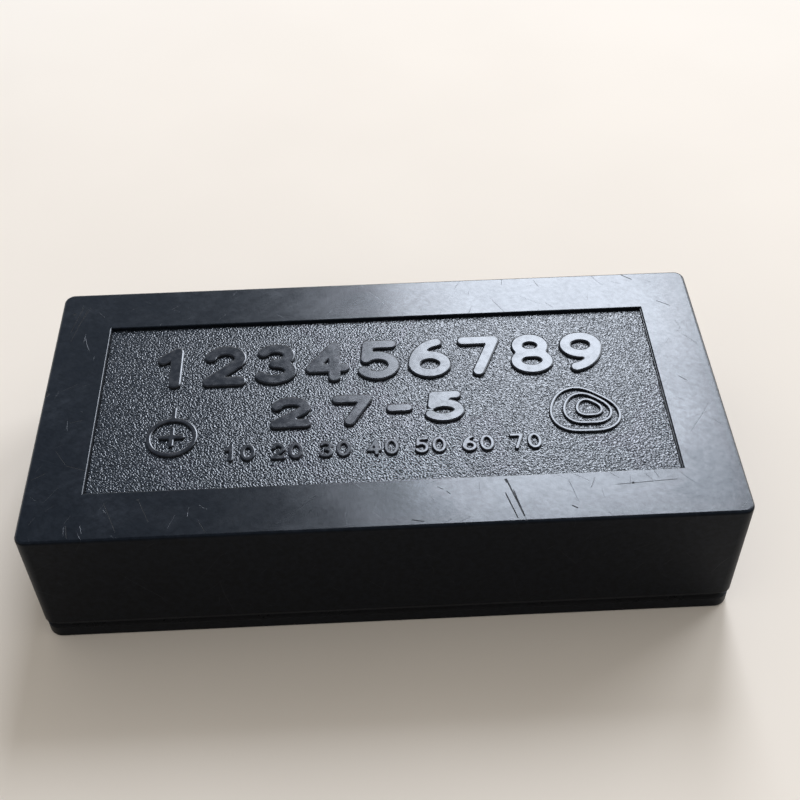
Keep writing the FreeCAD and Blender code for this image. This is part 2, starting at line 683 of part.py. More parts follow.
def instrument_pieces():
    dial = front_dial()
    plate = front_plate()
    bezel = front_bezel()
    crystal = front_crystal()
    pointer = front_pointer()
    return {
        "case_ring": case_ring(),
        "front_bezel": bezel,
        "rear_bezel": flipped(bezel),
        "front_crystal": crystal,
        "rear_crystal": flipped(crystal),
        "front_dial": dial,
        "rear_dial": flipped(dial),
        "front_plate": plate,
        "rear_plate": flipped(plate),
        "plate_screws": plate_screws(),
        "dial_screws": dial_screws(),
        "nose_shroud": nose_shroud(),
        "shroud_screws": shroud_screws(),
        "tracing_wheel": tracing_wheel(),
        "roller_arbor": at_place(pivoted_arbor(), WHEEL_PLACE),
        "roller_pinion": roller_pinion(),
        "intermediate_arbor": at_place(pivoted_arbor(), INTERMEDIATE_PLACE),
        "intermediate_wheel": intermediate_wheel(),
        "intermediate_pinion": intermediate_pinion(),
        "centre_arbor": centre_arbor(),
        "centre_wheel": centre_wheel(),
        "front_pointer": pointer,
        "rear_pointer": flipped(pointer),
        "neck_stud": neck_stud(),
        "ferrule": ferrule(),
        "handle_grip": handle_grip(),
        "handle_cap": handle_cap(),
    }


def write(name, shape):
    solids = shape.Solids
    whole = solids[0] if len(solids) == 1 else together(solids)
    whole.exportStep(os.path.join("parts", name + ".step"))
    box = whole.BoundBox
    print(f"{name}: {len(solids)} solid, valid {whole.isValid()}, volume {whole.Volume:.2f}, "
          f"x {box.XMin:.2f} to {box.XMax:.2f}, y {box.YMin:.2f} to {box.YMax:.2f}, "
          f"z {box.ZMin:.2f} to {box.ZMax:.2f}")


os.makedirs("parts", exist_ok=True)
write("case_base", case_base())
write("case_lid", case_lid())
for name, shape in instrument_pieces().items():
    shape.translate(Vector(DIAL_X, 0, DIAL_Z))
    write(name, shape)
print(f"dial centre {DIAL_X:.4f}, 0, {DIAL_Z:.4f}; wheel axis x {DIAL_X - WHEEL_PLACE:.4f}; "
      f"intermediate axis x {DIAL_X - INTERMEDIATE_PLACE:.4f}; case height {CASE_HEIGHT:.3f}")
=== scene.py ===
import json
import math

import bpy
import numpy as np
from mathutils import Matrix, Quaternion, Vector, noise


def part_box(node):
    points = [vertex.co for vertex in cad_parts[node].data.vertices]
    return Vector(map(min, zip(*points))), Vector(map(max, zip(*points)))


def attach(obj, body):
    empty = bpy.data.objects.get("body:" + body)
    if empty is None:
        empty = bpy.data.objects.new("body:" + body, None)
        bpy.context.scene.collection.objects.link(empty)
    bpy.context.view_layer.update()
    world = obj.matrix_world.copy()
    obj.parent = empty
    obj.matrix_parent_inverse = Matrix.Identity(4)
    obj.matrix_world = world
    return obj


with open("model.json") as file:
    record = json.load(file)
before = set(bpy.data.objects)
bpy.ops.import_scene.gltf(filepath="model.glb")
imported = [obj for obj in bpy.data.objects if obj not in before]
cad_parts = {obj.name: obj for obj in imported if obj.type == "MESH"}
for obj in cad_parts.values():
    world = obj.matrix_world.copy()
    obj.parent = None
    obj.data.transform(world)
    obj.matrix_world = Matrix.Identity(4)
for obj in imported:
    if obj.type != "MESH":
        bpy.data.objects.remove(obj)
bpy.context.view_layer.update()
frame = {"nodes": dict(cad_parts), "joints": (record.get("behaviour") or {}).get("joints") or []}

# Lengths below are in millimetres and angles in degrees, unless a name or a comment says otherwise.
MM = 0.001
ZERO = (0.0, 0.0, 0.0)

# The lid's outside, from its CAD box, and the sunk panel in its top
LID_LOW, LID_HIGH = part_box("case_lid")
LENGTH = (LID_HIGH.x - LID_LOW.x) / MM
WIDTH = (LID_HIGH.y - LID_LOW.y) / MM
TOP = LID_HIGH.z / MM
RECESS_BORDER = 9.35
RECESS_DEPTH = 0.65
RECESS_FLOOR = TOP - RECESS_DEPTH
RECESS_LENGTH = LENGTH - 2 * RECESS_BORDER
RECESS_WIDTH = WIDTH - 2 * RECESS_BORDER

# Groove between the lid's rim and the base's flange
GROOVE_TOP = LID_LOW.z / MM
GROOVE_HEIGHT = 1.4

# The instrument's middle, the level of its front dial's face, and the radius of a dial that can be seen
JOINTS = {joint["name"]: joint for joint in frame["joints"]}
DIAL_CENTRE = [value / MM for value in JOINTS["pointer_spin"]["pos_m"]]
FRONT_DIAL_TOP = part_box("front_dial")[1].z / MM
DIAL_SIGHT = 17.0


# Shader helpers

class Shader:
    """A material's node tree, with short calls for the nodes that this scene uses."""

    def __init__(self, name):
        self.material = bpy.data.materials.new(name)
        self.material.use_nodes = True
        self.nodes = self.material.node_tree.nodes
        self.links = self.material.node_tree.links
        self.surface = self.nodes["Principled BSDF"]
        self.place = self.nodes.new("ShaderNodeTexCoord").outputs["Object"]

    def set(self, **values):
        """Fixed values on the surface's own sockets."""
        for key, value in values.items():
            self.surface.inputs[key.replace("_", " ")].default_value = value
        return self

    def link(self, value, socket):
        """Puts a number, a tuple or another node's output on a socket."""
        if isinstance(value, (int, float)):
            socket.default_value = value
        elif isinstance(value, tuple):
            lacks_alpha = len(value) == 3 and len(socket.default_value) == 4
            socket.default_value = (*value, 1.0) if lacks_alpha else value
        else:
            self.links.new(value, socket)

    def feed(self, name, value):
        """Puts a value on one of the surface's sockets."""
        self.link(value, self.surface.inputs[name])
        return self

    def scaled(self, per_mm, turn=ZERO, move=ZERO):
        """Object coordinates, moved, turned, and scaled to so many units per millimetre."""
        node = self.nodes.new("ShaderNodeMapping")
        node.vector_type = "TEXTURE"
        self.links.new(self.place, node.inputs["Vector"])
        scales = per_mm if isinstance(per_mm, tuple) else (per_mm,) * 3
        node.inputs["Scale"].default_value = [MM / value for value in scales]
        node.inputs["Rotation"].default_value = [math.radians(angle) for angle in turn]
        node.inputs["Location"].default_value = [value * MM for value in move]
        return node.outputs["Vector"]

    def noise(self, vector, scale=1.0, detail=3.0, roughness=0.55, output="Fac"):
        node = self.nodes.new("ShaderNodeTexNoise")
        self.links.new(vector, node.inputs["Vector"])
        node.inputs["Scale"].default_value = scale
        node.inputs["Detail"].default_value = detail
        node.inputs["Roughness"].default_value = roughness
        return node.outputs[output]

    def noise_along(self, value, scale, detail):
        """Noise that varies with one value only."""
        node = self.nodes.new("ShaderNodeTexNoise")
        node.noise_dimensions = "1D"
        self.link(value, node.inputs["W"])
        node.inputs["Scale"].default_value = scale
        node.inputs["Detail"].default_value = detail
        return node.outputs["Fac"]

    def math(self, operation, first, second=0.0):
        node = self.nodes.new("ShaderNodeMath")
        node.operation = operation
        for value, socket in zip((first, second), node.inputs):
            self.link(value, socket)
        return node.outputs[0]

    def plus(self, first, second):
        return self.math("ADD", first, second)

    def minus(self, first, second):
        return self.math("SUBTRACT", first, second)

    def times(self, first, second):
        return self.math("MULTIPLY", first, second)

    def larger(self, first, second):
        return self.math("MAXIMUM", first, second)

    def positive(self, value):
        return self.math("ABSOLUTE", value)

    def radius(self, x0, y0):
        """Distance in the plan from an upright axis through a point."""
        x, y = self.minus(self.axis("X"), x0), self.minus(self.axis("Y"), y0)
        return self.math("SQRT", self.plus(self.times(x, x), self.times(y, y)))

    def vector_math(self, operation, first, second=ZERO, third=ZERO, output="Vector"):
        node = self.nodes.new("ShaderNodeVectorMath")
        node.operation = operation
        for value, socket in zip((first, second, third), node.inputs):
            self.link(value, socket)
        return node.outputs[output]

    def range(self, value, low, high, to_low=0.0, to_high=1.0, smooth=True):
        """Maps one range of values onto another and holds the ends."""
        node = self.nodes.new("ShaderNodeMapRange")
        node.interpolation_type = "SMOOTHSTEP" if smooth else "LINEAR"
        self.link(value, node.inputs["Value"])
        ends = {"From Min": low, "From Max": high, "To Min": to_low, "To Max": to_high}
        for name, number in ends.items():
            node.inputs[name].default_value = number
        return node.outputs["Result"]

    def mix(self, factor, first, second):
        """A mix of two colours."""
        node = self.nodes.new("ShaderNodeMix")
        node.data_type = "RGBA"
        self.link(factor, node.inputs[0])
        self.link(first, node.inputs[6])
        self.link(second, node.inputs[7])
        return node.outputs[2]

    def bump(self, height, distance, normal=None):
        node = self.nodes.new("ShaderNodeBump")
        node.inputs["Strength"].default_value = 1.0
        node.inputs["Distance"].default_value = distance * MM
        self.link(height, node.inputs["Height"])
        if normal is not None:
            self.links.new(normal, node.inputs["Normal"])
        return node.outputs["Normal"]

    def split(self, vector):
        node = self.nodes.new("ShaderNodeSeparateXYZ")
        self.links.new(vector, node.inputs[0])
        return node.outputs

    def axis(self, name):
        """One object coordinate, in millimetres."""
        return self.math("DIVIDE", self.split(self.place)[name], MM)


def toned(tint, share):
    """A tint made darker or lighter."""
    return tuple(channel * share for channel in tint)


# Scratches

# Each layer of random scratches: size of a cell, half width, reach as a share of the cell, and a shift
SCRATCH_LAYERS = ((13.0, 0.045, 0.5, 3.0), (6.0, 0.035, 0.5, 11.0), (2.6, 0.028, 0.45, 23.0))
SCRATCH_BEND = (0.25, 0.25, 0.25)
SCRATCH_CHANCE = (0.35, 0.95)

# Scratches on the lid's top: ends in the plan and half width
LID_MARKS = (((18.5, -19.2), (20.6, -26.8), 0.12), ((19.3, -21.0), (20.5, -26.4), 0.08),
             ((18.0, -21.5), (19.5, -26.9), 0.10), ((18.35, -19.0), (18.6, -19.8), 0.22),
             ((34.4, -21.1), (44.9, -20.5), 0.05), ((37.4, -20.95), (37.8, -20.85), 0.20),
             ((-50.5, 23.7), (-52.2, 16.4), 0.05), ((-51.3, 24.3), (-52.8, 17.5), 0.06),
             ((-49.9, 24.2), (-51.8, 18.9), 0.05), ((-50.9, 22.0), (-52.5, 15.2), 0.04),
             ((-52.9, 22.2), (-52.5, 22.5), 0.22), ((-54.8, 2.6), (-54.4, 3.4), 0.45),
             ((-42.5, -20.3), (-40.0, -26.1), 0.06), ((-37.2, -20.2), (-35.3, -24.5), 0.06),
             ((-28.0, -24.4), (-26.7, -26.9), 0.05), ((-47.6, -24.3), (-47.1, -26.8), 0.07),
             ((-49.9, -3.6), (-47.9, -3.1), 0.05), ((-51.3, -9.4), (-49.2, -12.6), 0.05),
             ((-49.2, -12.6), (-46.0, -13.8), 0.05), ((-54.2, -15.3), (-52.1, -14.0), 0.05),
             ((-37.5, -20.1), (-37.2, -19.9), 0.20), ((43.8, 27.1), (45.7, 25.6), 0.08),
             ((48.8, 19.9), (51.1, 18.4), 0.06), ((48.9, 1.4), (50.3, 0.1), 0.05),
             ((7.8, -20.0), (8.8, -20.6), 0.06), ((9.2, -20.9), (9.8, -21.6), 0.06),
             ((3.6, -26.1), (5.6, -26.6), 0.10), ((27.7, -24.7), (28.6, -25.3), 0.10))

# Where a mark starts to taper, as a share of its length from its middle, and how deep below the top it fades
MARK_TAPER = 0.40
MARK_FADE = (1.2, 0.6)

# A tangle of hairlines on the front border: its centre and radius, and its layers
TANGLE_PLACE = (28.6, -22.2)
TANGLE_RADIUS = 5.5
TANGLE_LAYERS = ((4.1, 0.09, 0.9, 41.0), (2.9, 0.09, 0.9, 57.0))


def scratches(shader, cell, half_width, reach, shift):
    """Straight scratches, none or one to a cell: where a plane that leans at random cuts the surface."""
    place = shader.scaled(1 / cell, move=(shift, shift, shift))
    bend = shader.noise(place, scale=0.8, detail=1.0, roughness=0.5, output="Color")
    place = shader.vector_math("MULTIPLY_ADD", bend, SCRATCH_BEND, place)
    cells = shader.nodes.new("ShaderNodeTexVoronoi")
    cells.inputs["Scale"].default_value = 1.0
    shader.links.new(place, cells.inputs["Vector"])
    chance = cells.outputs["Color"]
    offset = shader.vector_math("SUBTRACT", place, cells.outputs["Position"])
    lean = shader.vector_math("MULTIPLY_ADD", chance, (2.0, 2.0, 2.0), (-1.0, -1.0, -1.0))
    lean = shader.vector_math("NORMALIZE", lean)
    across = shader.positive(shader.vector_math("DOT_PRODUCT", offset, lean, output="Value"))
    away = shader.vector_math("LENGTH", offset, output="Value")
    line = shader.range(across, 0.0, half_width / cell, 1.0, 0.0)
    line = shader.times(line, shader.range(away, reach * 0.5, reach, 1.0, 0.0))
    return shader.times(line, shader.range(shader.split(chance)["X"], *SCRATCH_CHANCE))


def worn(shader, layers=SCRATCH_LAYERS):
    """All layers of random scratches, folded one by one."""
    total = 0.0
    for layer in layers:
        total = shader.larger(total, scratches(shader, *layer))
    return total


def marked(shader, marks):
    """One where a point lies on one of the given scratches, seen from above."""
    x, y = shader.axis("X"), shader.axis("Y")
    total = 0.0
    for (x0, y0), (x1, y1), half_width in marks:
        reach = math.hypot(x1 - x0, y1 - y0)
        way_x, way_y = (x1 - x0) / reach, (y1 - y0) / reach
        from_x, from_y = shader.minus(x, x0), shader.minus(y, y0)
        along = shader.plus(shader.times(from_x, way_x), shader.times(from_y, way_y))
        across = shader.minus(shader.times(from_x, way_y), shader.times(from_y, way_x))
        from_middle = shader.positive(shader.minus(shader.math("DIVIDE", along, reach), 0.5))
        taper = shader.range(from_middle, MARK_TAPER, 0.5, half_width, 0.0)
        gap = shader.minus(taper, shader.positive(across))
        total = shader.larger(total, shader.range(gap, 0.0, half_width / 2))
    fade_low, fade_high = (TOP - depth for depth in MARK_FADE)
    return shader.times(total, shader.range(shader.axis("Z"), fade_low, fade_high))


def tangled(shader):
    """Many fine hairlines over one another, in one place on the front border."""
    near = shader.range(shader.radius(*TANGLE_PLACE), TANGLE_RADIUS * 0.5, TANGLE_RADIUS, 1.0, 0.0)
    return shader.times(worn(shader, TANGLE_LAYERS), near)


# Plastic of the case

# Linear tints of the top, the sides with painted shade, handling haze, stains, fine scratches, marks, the
# painted highlight on rims, and the lighter tint in the groove
CASE_TINT = (0.0042, 0.0052, 0.0070)
SIDE_SHADE_TINT = (0.0019, 0.0031, 0.0060)
HAZE_TINT = toned(CASE_TINT, 3.6)
STAIN_TINT = (0.0005, 0.0006, 0.0008)
SCRATCH_TINT = (0.045, 0.048, 0.057)
MARK_TINT = (0.026, 0.028, 0.034)
RIM_HIGHLIGHT_TINT = (0.105, 0.113, 0.126)
GROOVE_TINT = (0.030, 0.031, 0.033)
RELIEF_TINTS = ((0.010, 0.011, 0.014), (0.019, 0.020, 0.024))
# The grain's tints: darker in the pits than on the pebbles, as painted shade
PEBBLE_SHADE_TINTS = ((0.004, 0.005, 0.006), (0.024, 0.029, 0.037))

# Sheen: the normal's height over which a face comes to look up, the tint, the levels, and the grain's factor
UPWARD = (0.6, 0.95)
SHEEN_TINT = (0.855, 0.925, 1.0, 1.0)
CASE_SHEEN = 0.74
SIDE_SHEEN = 0.10
RELIEF_SIDE_SHEEN = 0.50
GRAIN_SHEEN_FACTOR = 1.07

# Roughness of the lid's top, the base's top, the sides and the grain
LID_ROUGHNESS = 0.20
BASE_ROUGHNESS = 0.26
SIDE_ROUGHNESS = 0.42
GRAIN_ROUGHNESS = 0.17

# Patterns on the case: units of noise per millimetre, and for some a turn and a move
HAZE_PATTERN = 0.10
RUB_PATTERN = ((0.35, 0.7, 0.5), (0, 0, 25), (7, 3, 1))
STAIN_PATTERN = ((0.9, 1.3, 1.1), (0, 0, -35), (3, 8, 2))
WAVE_PATTERN = (0.05, ZERO, (5, 1, 9))
PEEL_PATTERN = 1.3
PEBBLE_PATTERN = ((3.8, 2.7, 3.2), (0, 0, 40))
RUBBED_PATTERN = 0.7

# The stretch of a pattern's noise over which it comes in
HAZE_SPREAD = (0.40, 0.72)
RUB_SPREAD = (0.30, 0.75)
STAIN_SPREAD = (0.36, 0.66)
RUBBED_SPREAD = (0.35, 0.7)
PEBBLE_SPREAD = (0.35, 0.6)

# A stretch of a pattern's noise, and what it adds to the roughness
HAZE_ROUGHENING = (0.3, 0.75, 0.04)
RUB_ROUGHENING = (0.35, 0.75, 0.03)

# A stretch of a pattern's noise, and the roughness or the loss of sheen at its two ends. The loss of sheen in
# the grain's pits is painted shade.
RUBBED_ROUGHNESS = (0.35, 0.75, 0.19, 0.30)
PIT_SHADE_DULLING = (0.37, 0.53, 0.52, 0.0)

# How strongly the painted highlight on the rims shows on the shoulders of raised figures
RIM_HIGHLIGHT_STRENGTH = 2.4

# The lighter tint in the groove: where it comes in, from the outside inward, and where it ends, in shares of
# its height
GROOVE_TINT_REACH = (-1.6, -1.2)
GROOVE_TINT_ENDS = (0.48, 0.53)

# How much fine scratches, marks and stains change the tint, the roughness, the sheen and the depth
SCRATCH_WEAR = {"tint": 0.35, "rough": 0.08, "dull": 0.30, "depth": 0.30}
MARK_WEAR = {"tint": 0.7, "rough": 0.25, "dull": 0.75, "depth": 2.2}
STAIN_WEAR = {"tint": 0.55, "dull": 0.16}

# Depths of the bumps at full height: the moulding's slow waves, its orange peel, wear, pebbles and rubbing
WAVE_DEPTH = 0.20
PEEL_DEPTH = 0.005
WEAR_DEPTH = 0.03
PEBBLE_DEPTH = 0.115
RUB_DEPTH = 0.006


def upward(shader):
    """One on faces that look up, where handling has polished the plastic, and zero on the sides. The same
    mask places painted shade on the case's sides and a painted highlight on the rims of raised figures.
    """
    normal = shader.nodes.new("ShaderNodeNewGeometry").outputs["Normal"]
    return shader.range(shader.split(normal)["Z"], *UPWARD)


def sheen(shader, facing, factor=1.0, dull=None, side=SIDE_SHEEN):
    """A bluish sheen that is stronger on faces that look up."""
    level = shader.range(facing, 0.0, 1.0, side, CASE_SHEEN * factor, smooth=False)
    if dull is not None:
        level = shader.times(level, shader.minus(1.0, dull))
    shader.feed("Specular IOR Level", level)
    return shader.set(Specular_Tint=SHEEN_TINT).material


def groove_dust(shader):
    """One in the groove that runs round the case above the base's flange."""
    ends = shader.minus(shader.positive(shader.axis("X")), LENGTH / 2)
    sides = shader.minus(shader.positive(shader.axis("Y")), WIDTH / 2)
    outer = shader.range(shader.larger(ends, sides), *GROOVE_TINT_REACH)
    middle = GROOVE_TOP - GROOVE_HEIGHT / 2
    away = shader.positive(shader.minus(shader.axis("Z"), middle))
    full, none = (GROOVE_HEIGHT * share for share in GROOVE_TINT_ENDS)
    return shader.times(outer, shader.range(away, full, none, 1.0, 0.0))


def case_plastic(name, marks=(), roughness=LID_ROUGHNESS):
    """Black moulded plastic with a soft sheen, haze, scratches, and painted shade: a darker, bluer tint on
    its sides. Without marks, its groove is tinted lighter.
    """
    shader = Shader(name)
    facing = upward(shader)
    haze = shader.noise(shader.scaled(HAZE_PATTERN), detail=5.0, roughness=0.62)
    rub = shader.noise(shader.scaled(*RUB_PATTERN), detail=5.0, roughness=0.65)
    stain = shader.noise(shader.scaled(*STAIN_PATTERN), detail=5.0, roughness=0.72)
    smear = shader.times(shader.range(haze, *HAZE_SPREAD), shader.range(rub, *RUB_SPREAD))
    lines = worn(shader)
    if marks:
        lines = shader.larger(lines, tangled(shader))

    # The sides get a darker, bluer tint than the top: painted shade.
    color = shader.mix(facing, SIDE_SHADE_TINT, shader.mix(smear, CASE_TINT, HAZE_TINT))
    color = shader.mix(shader.range(stain, *STAIN_SPREAD, 0.0, STAIN_WEAR["tint"]), color, STAIN_TINT)
    color = shader.mix(shader.times(lines, SCRATCH_WEAR["tint"]), color, SCRATCH_TINT)

    low, high, gain = HAZE_ROUGHENING
    rough = shader.range(haze, low, high, roughness, roughness + gain)
    low, high, gain = RUB_ROUGHENING
    rough = shader.plus(rough, shader.range(rub, low, high, 0.0, gain))
    rough = shader.plus(rough, shader.times(lines, SCRATCH_WEAR["rough"]))
    rough = shader.larger(rough, shader.range(facing, 0.0, 1.0, SIDE_ROUGHNESS, 0.0, smooth=False))

    stained = shader.range(stain, *STAIN_SPREAD, 0.0, STAIN_WEAR["dull"])
    dull = shader.larger(shader.times(lines, SCRATCH_WEAR["dull"]), stained)
    height = shader.times(lines, -SCRATCH_WEAR["depth"])
    if marks:
        deep = marked(shader, marks)
        color = shader.mix(shader.times(deep, MARK_WEAR["tint"]), color, MARK_TINT)
        rough = shader.plus(rough, shader.times(deep, MARK_WEAR["rough"]))
        dull = shader.larger(dull, shader.times(deep, MARK_WEAR["dull"]))
        height = shader.minus(height, shader.times(deep, MARK_WEAR["depth"]))
    else:
        # A lighter tint in the groove round the case.
        color = shader.mix(groove_dust(shader), color, GROOVE_TINT)

    normal = shader.bump(shader.noise(shader.scaled(*WAVE_PATTERN), detail=1.0), WAVE_DEPTH)
    normal = shader.bump(shader.noise(shader.scaled(PEEL_PATTERN)), PEEL_DEPTH, normal)
    normal = shader.bump(height, WEAR_DEPTH, normal)
    shader.feed("Base Color", color).feed("Roughness", rough).feed("Normal", normal)
    return sheen(shader, facing, 1.0, dull)


def grain_plastic():
    """The sunk panel: the same plastic with the fine pebble of a spark-eroded mould, and painted shade in the
    pebble's pits: a darker tint and less sheen there.
    """
    shader = Shader("grained panel")
    pebble = shader.noise(shader.scaled(*PEBBLE_PATTERN), detail=1.0, roughness=0.45)
    # Darker in the pits and lighter on the pebbles: painted shade.
    shader.feed("Base Color", shader.mix(shader.range(pebble, *PEBBLE_SPREAD), *PEBBLE_SHADE_TINTS))
    shader.feed("Normal", shader.bump(pebble, PEBBLE_DEPTH))
    # Less sheen in the pits: painted shade.
    pit_shade = shader.range(pebble, *PIT_SHADE_DULLING)
    return sheen(shader.set(Roughness=GRAIN_ROUGHNESS), upward(shader), GRAIN_SHEEN_FACTOR, pit_shade)


def relief_plastic():
    """Raised figures with tops that handling has rubbed, and a lighter tint on their shoulders that is a
    painted highlight.
    """
    shader = Shader("raised figures")
    facing = upward(shader)
    # Shoulders between the top and the sides get a lighter tint: a painted highlight.
    rim = shader.times(shader.times(facing, shader.minus(1.0, facing)), RIM_HIGHLIGHT_STRENGTH)
    cloud = shader.noise(shader.scaled(RUBBED_PATTERN), detail=4.0, roughness=0.65)
    lines = worn(shader, SCRATCH_LAYERS[1:])
    color = shader.mix(shader.range(cloud, *RUBBED_SPREAD), *RELIEF_TINTS)
    rough = shader.range(cloud, *RUBBED_ROUGHNESS)
    rough = shader.plus(rough, shader.times(lines, SCRATCH_WEAR["rough"]))
    shader.feed("Base Color", shader.mix(rim, color, RIM_HIGHLIGHT_TINT)).feed("Roughness", rough)
    shader.feed("Normal", shader.bump(cloud, RUB_DEPTH))
    return sheen(shader, facing, side=RELIEF_SIDE_SHEEN)


# Materials of the instrument

# Linear tints
PLATING_TINT = (0.75, 0.74, 0.72)
ALUMINIUM_TINT = (0.66, 0.67, 0.69)
STEEL_TINT = (0.56, 0.56, 0.57)
BRASS_TINT = (0.75, 0.56, 0.25)
DIAL_TINT = (0.80, 0.78, 0.72)
INK_TINT = (0.010, 0.010, 0.012)
BLUED_TINT = (0.012, 0.018, 0.05)
GRIP_TINT = (0.012, 0.012, 0.013)

# Patterns: units of noise per millimetre, the stretch over which they come in, and what they change there
SMEAR_PATTERN = 0.25
SMEAR_SPREAD = (0.3, 0.8)
SMEAR_TONE = 0.92
SMEAR_ROUGHENING = 0.05
BRUSHED_PATTERN = (0.3, 12.0, 12.0)
TURNED_RINGS_PER_MM = 7.0
SPECK_SPREAD = (0.3, 0.7)
SPECK_ROUGHENING = 0.1
PAINT_TONE = 0.9

# The clear crystal: how much it covers, its pattern, its roughness, and what scratches add to it
CRYSTAL_COVER = 0.055
CRYSTAL_PATTERN = 0.3
CRYSTAL_ROUGHNESS = (0.4, 0.8, 0.02, 0.07)
CRYSTAL_SCRATCH_ROUGHENING = 0.1
CRYSTAL_SCRATCH_DEPTH = 0.004


def metal(name, tint, roughness, groove_depth, turned=False):
    """Plated or worked metal. Turning marks run round the dial's centre, and brushing runs along X."""
    shader = Shader(name)
    shader.set(Metallic=1.0)
    smear = shader.noise(shader.scaled(SMEAR_PATTERN), roughness=0.5)
    shader.feed("Base Color", shader.mix(shader.range(smear, *SMEAR_SPREAD), tint, toned(tint, SMEAR_TONE)))
    shader.feed("Roughness", shader.range(smear, *SMEAR_SPREAD, roughness, roughness + SMEAR_ROUGHENING))
    if turned:
        grooves = shader.noise_along(shader.radius(*DIAL_CENTRE[:2]), TURNED_RINGS_PER_MM, detail=4.0)
    else:
        grooves = shader.noise(shader.scaled(BRUSHED_PATTERN))
    return shader.feed("Normal", shader.bump(grooves, groove_depth)).material


def plain_paint(name, tint, roughness, grain=6.0, depth=0.006):
    """Paint or plastic of one colour, with a fine speck of so many grains per millimetre."""
    shader = Shader(name)
    speck = shader.noise(shader.scaled(grain), detail=4.0, roughness=0.6)
    tone = shader.noise(shader.scaled(SMEAR_PATTERN))
    shader.feed("Base Color", shader.mix(shader.range(tone, *SMEAR_SPREAD), tint, toned(tint, PAINT_TONE)))
    shader.feed("Roughness", shader.range(speck, *SPECK_SPREAD, roughness, roughness + SPECK_ROUGHENING))
    return shader.feed("Normal", shader.bump(speck, depth)).material


def clear_crystal():
    """A clear cover as a faint mirror film, so that the lamps reach the dial behind it."""
    shader = Shader("clear crystal")
    smear = shader.noise(shader.scaled(CRYSTAL_PATTERN), detail=4.0, roughness=0.6)
    lines = worn(shader, SCRATCH_LAYERS[:2])
    scratched = shader.times(lines, CRYSTAL_SCRATCH_ROUGHENING)
    shader.feed("Roughness", shader.plus(shader.range(smear, *CRYSTAL_ROUGHNESS), scratched))
    shader.feed("Normal", shader.bump(shader.times(lines, -1.0), CRYSTAL_SCRATCH_DEPTH))
    return shader.set(Base_Color=(1.0, 1.0, 1.0, 1.0), Metallic=1.0, Alpha=CRYSTAL_COVER).material


# Mesh helpers

def new_piece(name, mesh, material, body):
    piece = bpy.data.objects.new(name, mesh)
    bpy.context.scene.collection.objects.link(piece)
    mesh.materials.clear()
    mesh.materials.append(material)
    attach(piece, body)
    return piece


def smooth(mesh, limit):
    """Smooth shading, with sharp edges where faces meet at more than the limit."""
    mesh.polygons.foreach_set("use_smooth", [True] * len(mesh.polygons))
    mesh.set_sharp_from_angle(angle=math.radians(limit))


def arc_points(x, y, radius_x, radius_y, start, end, steps=20):
    turns = np.radians(np.linspace(start, end, steps))
    return [(x + radius_x * math.cos(turn), y + radius_y * math.sin(turn)) for turn in turns]


# Figures and signs: strokes drawn as a distance field, traced, and extruded

# A distance that is larger than any in a figure, and the least squared length of a stretch of a stroke
FAR = 1e3
LEAST_SQUARE = 1e-12


def stroke_field(strokes, half_width, blend, xs, ys):
    """Distance outside the union of round-ended strokes, with soft inner corners."""
    grid_x, grid_y = np.meshgrid(xs, ys)
    total = np.full(grid_x.shape, FAR)
    for stroke in strokes:
        nearest = np.full(grid_x.shape, FAR)
        for (x0, y0), (x1, y1) in zip(stroke[:-1], stroke[1:]):
            dx, dy = x1 - x0, y1 - y0
            square = max(dx * dx + dy * dy, LEAST_SQUARE)
            share = np.clip(((grid_x - x0) * dx + (grid_y - y0) * dy) / square, 0, 1)
            nearest = np.minimum(nearest, np.hypot(grid_x - x0 - share * dx, grid_y - y0 - share * dy))
        field = nearest - half_width
        overlap = np.clip(blend - np.abs(total - field), 0, None) / blend
        total = np.minimum(total, field) - overlap ** 2 * blend / 4
    return total


# The sides of a grid cell that an outline crosses (left, bottom, right, top), by the set of corners inside
CELL_ROUTES = {1: "lb", 2: "br", 3: "lr", 4: "rt", 6: "bt", 7: "lt", 8: "tl", 9: "tb", 11: "tr", 12: "rl",
               13: "rb", 14: "bl", 5: "lbrt", 10: "brtl"}
FEWEST_POINTS = 9


def traced(field, xs, ys):
    """Closed outlines where the field is zero, by marching squares."""
    links, places = {}, {}
    step_x, step_y = xs[1] - xs[0], ys[1] - ys[0]

    def crossing(row, column, upright):
        first = field[row, column]
        second = field[row + 1, column] if upright else field[row, column + 1]
        share = first / (first - second)
        x = xs[column] + (0 if upright else share * step_x)
        y = ys[row] + (share * step_y if upright else 0)
        return x, y

    inside = field < 0
    cases = inside[:-1, :-1] * 1 + inside[:-1, 1:] * 2 + inside[1:, 1:] * 4 + inside[1:, :-1] * 8
    for row, column in zip(*np.nonzero((cases > 0) & (cases < 15))):
        sides = {"b": (row, column, False), "t": (row + 1, column, False), "l": (row, column, True),
                 "r": (row, column + 1, True)}
        route = CELL_ROUTES[int(cases[row, column])]
        for pair in zip(route[::2], route[1::2]):
            keys = [sides[side] for side in pair]
            for key in keys:
                places[key] = crossing(*key)
            links.setdefault(keys[0], []).append(keys[1])
            links.setdefault(keys[1], []).append(keys[0])
    loops = []
    left = set(links)
    while left:
        loop = [min(left)]
        left.discard(loop[0])
        while True:
            onward = [key for key in links[loop[-1]] if key in left]
            if not onward:
                break
            loop.append(onward[0])
            left.discard(onward[0])
        loops.append([places[key] for key in loop])
    return [loop for loop in loops if len(loop) >= FEWEST_POINTS]


def outlines(strokes, half_width, step=0.1, blend=0.35):
    points = np.array([point for stroke in strokes for point in stroke])
    margin = half_width + 3 * step
    xs = np.arange(points[:, 0].min() - margin, points[:, 0].max() + margin, step)
    ys = np.arange(points[:, 1].min() - margin, points[:, 1].max() + margin, step)
    return traced(stroke_field(strokes, half_width, blend, xs, ys), xs, ys)


# Drops of a round shoulder as shares of its radius, and the drops of a flatter one in their place
ROUND_DROPS = (0.0, 0.049, 0.191, 0.412, 0.691, 1.0)
FLAT_DROPS = (0.0, 0.094, 0.18, 0.247, 0.55, 1.0)
SHOULDER_STEPS = 4
EXTRUDED_SHARP = 20.0


